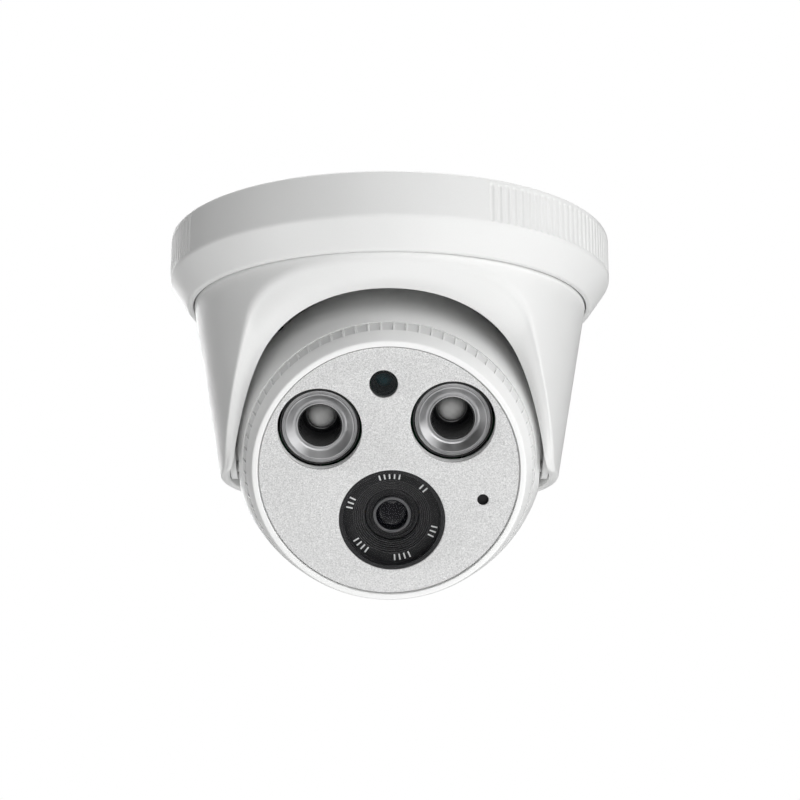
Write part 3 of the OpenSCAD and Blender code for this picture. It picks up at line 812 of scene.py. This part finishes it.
back_plate = plate_with_holes("plate", 32.9, face_holes(0.03), 21.8, FACE_P - 1.04, 0.1)
cover_piece = finish_piece(join(front_cover(), back_plate, *cover_posts()), WHITE_HEAD,
                           "camera_head", ["front_cover"])
# second slot: the grip pockets' darker white, which is painted shade
cover_piece.data.materials.append(WHITE_GRIP_PAINTED_SHADE)
finish_piece(plate_with_holes("face_panel_sheet", PANEL_R, face_holes(), FACE_P - 1, FACE_P, 0.26),
             SILVER, "camera_head", ["face_panel"])

# Lens -------------------------------------------------------------------------------------------

WINDOW_R = 13.7
TRAP_STEPS = 6                      # light-trap steps, going down towards the lens
TRAP_R, TRAP_TOP = 10.1, 22.0
TRAP_STEP_R, TRAP_STEP_DOWN = 0.5, 0.22
# Index dashes on the black ring: middle angle and count of each group
MARK_GROUPS = ((90, 5), (41, 2), (-24, 3), (-80, 4), (-139, 4), (157, 3))
MARK_PITCH_DEG, MARK_HALF_DEG = 6.6, 1.0
MARK_INNER_R, MARK_OUTER_R = 10.5, 12.2
MARK_TOP, MARK_THICK = 22.02, 0.12
BOX_FACES = ((0, 1, 3, 2), (4, 6, 7, 5), (0, 4, 5, 1), (2, 3, 7, 6), (0, 2, 6, 4), (1, 5, 7, 3))


def lens_parts():
    """Pieces round the lens axis: name, profile, material, slot and the CAD node they stand for."""
    trap = []
    for k in range(TRAP_STEPS):
        r, z = TRAP_R - TRAP_STEP_R * k, TRAP_TOP - TRAP_STEP_DOWN * k
        trap += [(r, z, 0.03), (r - 0.16, z, 0.03), (r - 0.26, z - 0.3, 0.03),
                 (r - TRAP_STEP_R, z - 0.3, 0)]
    shroud = [(7.1, 17.6), (13.3, 17.6), (13.3, 22.85, 0.15), (12.9, 22.85, 0.15),
              (12.85, 21.95, 0.2), *trap, (7.1, 20.5, 0.1)]
    barrel = [(4.2, 5), (6, 5), (6, 13), (7, 13), (7, 20.1, 0.25), (6.1, 20.1, 0.1),
              (5.9, 19.8, 0.1), (5.3, 19.8, 0.1), (5.1, 20.15, 0.1), (4.9, 20.15, 0.1),
              (4.9, 18.6), (3.6, 17.4), (3.4, 12), (4.2, 8)]
    glass = [(0, 17.5), (4.85, 17.5), (4.85, 18.3, 0.1), *dome_profile(4.7, 1.9, 18.3, 16),
             (0, 20.2)]
    nose = [(4.15, 20.0), (4.95, 20.0), (4.95, 20.75, 0.2), (4.15, 20.75, 0.2)]
    window = [(0, FACE_P - 1.65), (WINDOW_R, FACE_P - 1.65, 0.15), (WINDOW_R, FACE_P - 0.1, 0.2),
              (0, FACE_P - 0.1)]
    border = [(12.7, FACE_P - 0.4), (WINDOW_R + 0.03, FACE_P - 0.4),
              (WINDOW_R + 0.03, FACE_P - 0.14), (12.7, FACE_P - 0.14)]
    return (("lens_shroud_baffle", shroud, BLACK, "black_plastic", "lens_shroud"),
            ("lens_barrel_body", barrel, BLACK, "black_plastic", "lens_barrel"),
            ("lens_front_element", glass, LENS_GLASS, "lens_glass", "lens_front_glass"),
            ("lens_nose_bezel", nose, ANODISED, "grey_metal", "lens_nose_ring"),
            ("lens_window_pane", window, SCREEN, "window_glass", "lens_window"),
            ("lens_window_border", border, BLACK_GLOSS, "black_plastic", None))


for name, profile, material, slot_name, node in lens_parts():
    finish_piece(lathe(name, profile, at(LENS), 192, 0.06), material, "camera_head",
                 [node] if node else [])


def baffle_ribs():
    """Fine raised rings on the steps of the light trap, in a lighter grey that is a painted highlight."""
    rings = []
    for k in range(TRAP_STEPS):
        inner = TRAP_R - 0.14 - TRAP_STEP_R * k
        z = TRAP_TOP - TRAP_STEP_DOWN * k
        profile = [(inner, z - 0.1), (inner + 0.1, z - 0.1), (inner + 0.1, z + 0.04),
                   (inner, z + 0.04)]
        rings.append(lathe("lens_baffle_ribs", profile, at(LENS), 192, 0.03))
    return join(*rings)


# the ribs' grey is a painted highlight on the black light trap
finish_piece(baffle_ribs(), RIB_PAINTED_HIGHLIGHT, "camera_head")


def ring_marks():
    """Plain index dashes on the black ring, in groups, in place of lettering."""
    verts, faces = [], []
    half = math.radians(MARK_HALF_DEG)
    for group, count in MARK_GROUPS:
        for k in range(count):
            centre = math.radians(group + (k - (count - 1) / 2) * MARK_PITCH_DEG)
            base = len(verts)
            verts += [(r * math.cos(a), r * math.sin(a), z)
                      for z in (MARK_TOP - MARK_THICK, MARK_TOP)
                      for r in (MARK_INNER_R, MARK_OUTER_R)
                      for a in (centre - half, centre + half)]
            faces += [tuple(base + i for i in quad) for quad in BOX_FACES]
    return mesh_piece("lens_ring_marks", verts, faces, at(LENS))


finish_piece(ring_marks(), MARK, "camera_head")

# Infrared lamps, light sensor and microphone ----------------------------------------------------


def lamp_parts():
    """Pieces of a lamp: name, profile, material, slot and the CAD node they stand for."""
    cup = [(4.3, 9.6), (10.2, 9.6), (10.2, 22.4, 0.15), (9.85, 22.4, 0.15), (9.8, 11), (4.3, 11)]
    optic = [(5.9, 14.2), (7.6, 16), (9.0, 19), (9.7, 21.4), (9.7, 22.5, 0.2), (9.4, 22.7, 0.12),
             (9.2, 22.4, 0.08), (8.95, 22.4, 0.08), (8.8, 22.75, 0.12), (8.5, 22.7, 0.1),
             (6.9, 21.3, 0.6), (6.55, 21.1, 0.08), (6.25, 21.1, 0.08), (6.05, 21.4, 0.12),
             (5.75, 21.4, 0.12), (5.7, 20.9), (5.7, 14.2)]
    well = [(5.8, 21.1), (5.4, 21.1, 0.1), (5.0, 15), (4.5, 11.4, 1.0), (0, 11.4), (0, 11.05),
            (5.8, 11.05)]
    led = [(0, 9.6), (4, 9.6), (4, 11, 0.2), (3.7, 11, 0.1), *dome_profile(3.6, 3.1, 11.2, 14),
           (0, 14.3)]
    return (("ir_cup_{}_tube", cup, BLACK_GLOSS, "black_plastic", "ir_cup_{}"),
            ("ir_optic_{}_lens", optic, OPTIC, "clear_optic", "ir_optic_{}"),
            ("ir_well_{}", well, BLACK_GLOSS, "black_plastic", None),
            ("ir_led_{}_dome", led, LED, "led_epoxy", "ir_led_{}"))


for side, centre in LAMPS.items():
    for name, profile, material, slot_name, node in lamp_parts():
        replaced = [node.format(side)] if node else []
        finish_piece(lathe(name.format(side), profile, at(centre), 144, 0.08), material,
                     "camera_head", replaced)

EYE_PARTS = (
    ("photosensor_pane",
     [(0, 23.15), (3.55, 23.15, 0.1), (3.55, FACE_P - 0.08, 0.25), (0, FACE_P - 0.08)],
     TINTED, "tinted_window", "photosensor_window"),
    ("photosensor_sleeve", [(2.4, 9.6), (3.2, 9.6), (3.2, 23.1, 0.1), (2.4, 23.1, 0.1)],
     BLACK, "black_plastic", "photosensor_tube"),
    ("photosensor_dome", [(0, 9.6), (2.3, 9.6), (2.3, 19.4, 1.6), (0, 21.3)],
     TEAL, "component_dark", "photosensor"),
)
for name, profile, material, slot_name, node in EYE_PARTS:
    finish_piece(lathe(name, profile, at(EYE), 96, 0.1), material, "camera_head", [node])
MIC_PORT = [(0, 22.9), (1.47, 22.9), (1.47, 24.4, 0.05), (1.36, 24.4, 0.05), (1.3, 23.3), (0, 23.2)]
finish_piece(lathe("microphone_port", MIC_PORT, at(MIC), 64, 0.05), BLACK, "camera_head")

# CAD nodes that keep their own meshes -----------------------------------------------------------

NODE_MATERIALS = {
    "white_plastic": WHITE, "black_plastic": BLACK, "black_rubber": BLACK_RUBBER,
    "grey_metal": ALUMINIUM, "steel": STEEL_METAL, "brass": BRASS, "circuit_board": GREEN,
    "component_dark": PACKAGE, "component_light": NYLON, "led_epoxy": TEAL,
    "lens_glass": LENS_GLASS, "filter_glass": LENS_GLASS,
}
PAINTED_NODES = ("pivot_bracket_left", "pivot_bracket_right",
                 "tilt_washer_left", "tilt_washer_right")
EDGE_ROUNDING = 0.15
for entry in frame["record"]["subparts"]:
    node = frame["nodes"][entry["node"]]
    if not node.hide_render:
        node.data.materials.clear()
        painted = entry["node"] in PAINTED_NODES
        node.data.materials.append(WHITE if painted else NODE_MATERIALS[entry["material_slot"]])
        edge = node.modifiers.new("edge", "BEVEL")
        edge.width = EDGE_ROUNDING * MM
        edge.segments = 2
        edge.limit_method = "ANGLE"
        edge.angle_limit = math.radians(50)

# Floor, light and camera ------------------------------------------------------------------------

FLOOR_Z = -0.90
FLOOR_SIZE = 8
AIM = (0, 0, -0.05)
# Name, place, size and power of each lamp
LIGHTS = (
    ("front", (0, -0.78, -0.05), 0.5, 1.65),
    ("right_front", (0.47, -0.62, -0.05), 0.5, 2.0),
    ("right", (0.74, -0.23, -0.05), 0.5, 1.8),
    ("right_low", (0.55, -0.31, -0.52), 0.5, 0.45),
    ("left_low", (-0.55, -0.23, -0.56), 0.5, 0.85),
    ("below", (0, 0, -0.83), 0.5, 0.75),
    ("back", (-0.25, 0.70, 0.25), 0.6, 4.0),
    ("overhead", (0, 0, 4.0), 3.0, 148),
)
AMBIENT = 0.02
CAMERA_PLACE = (0.00280, -0.4551, -0.1525)
CAMERA_PITCH_DEG = 13.48            # upwards
FOCAL_MM, SENSOR_MM = 77.6, 36


def studio_floor():
    """Pale floor well below the camera."""
    bpy.ops.mesh.primitive_plane_add(size=FLOOR_SIZE, location=(0, 0, FLOOR_Z))
    floor = bpy.context.object
    floor.name = "studio_floor"
    m = Nodes("pale_floor")
    m.set(Base_Color=m.ramp(m.noise(300, 2.0), (0.3, 0.86), (0.7, 0.9)), Roughness=0.9)
    floor.data.materials.append(m.material)


def area_light(name, place, size, power):
    """Round soft light aimed at the object."""
    data = bpy.data.lights.new(name, "AREA")
    data.shape = "DISK"
    data.size = size
    data.energy = power
    lamp = bpy.data.objects.new(name, data)
    bpy.context.scene.collection.objects.link(lamp)
    lamp.location = place
    lamp.visible_camera = False
    lamp.rotation_euler = (Vector(AIM) - Vector(place)).to_track_quat("-Z", "Y").to_euler()


def studio_world():
    """White backdrop for the camera, and a softer even light for everything else."""
    world = bpy.data.worlds.new("studio")
    bpy.context.scene.world = world
    world.use_nodes = True
    tree = world.node_tree
    ambient = tree.nodes["Background"]
    ambient.inputs["Color"].default_value = (1, 1, 1, 1)
    ambient.inputs["Strength"].default_value = AMBIENT
    backdrop = tree.nodes.new("ShaderNodeBackground")
    backdrop.inputs["Color"].default_value = (1, 1, 1, 1)
    backdrop.inputs["Strength"].default_value = 1.0
    path = tree.nodes.new("ShaderNodeLightPath")
    mix = tree.nodes.new("ShaderNodeMixShader")
    tree.links.new(path.outputs["Is Camera Ray"], mix.inputs["Fac"])
    tree.links.new(ambient.outputs["Background"], mix.inputs[1])
    tree.links.new(backdrop.outputs["Background"], mix.inputs[2])
    tree.links.new(mix.outputs["Shader"], tree.nodes["World Output"].inputs["Surface"])


def photo_camera():
    """Camera at the photograph's viewpoint."""
    data = bpy.data.cameras.new("view")
    data.sensor_width = SENSOR_MM
    data.lens = FOCAL_MM
    camera = bpy.data.objects.new("view", data)
    bpy.context.scene.collection.objects.link(camera)
    camera.location = CAMERA_PLACE
    camera.rotation_euler = (math.radians(90 + CAMERA_PITCH_DEG), 0, 0)
    bpy.context.scene.camera = camera


studio_floor()
studio_world()
for light in LIGHTS:
    area_light(*light)
photo_camera()
bpy.context.scene.view_settings.view_transform = "Standard"
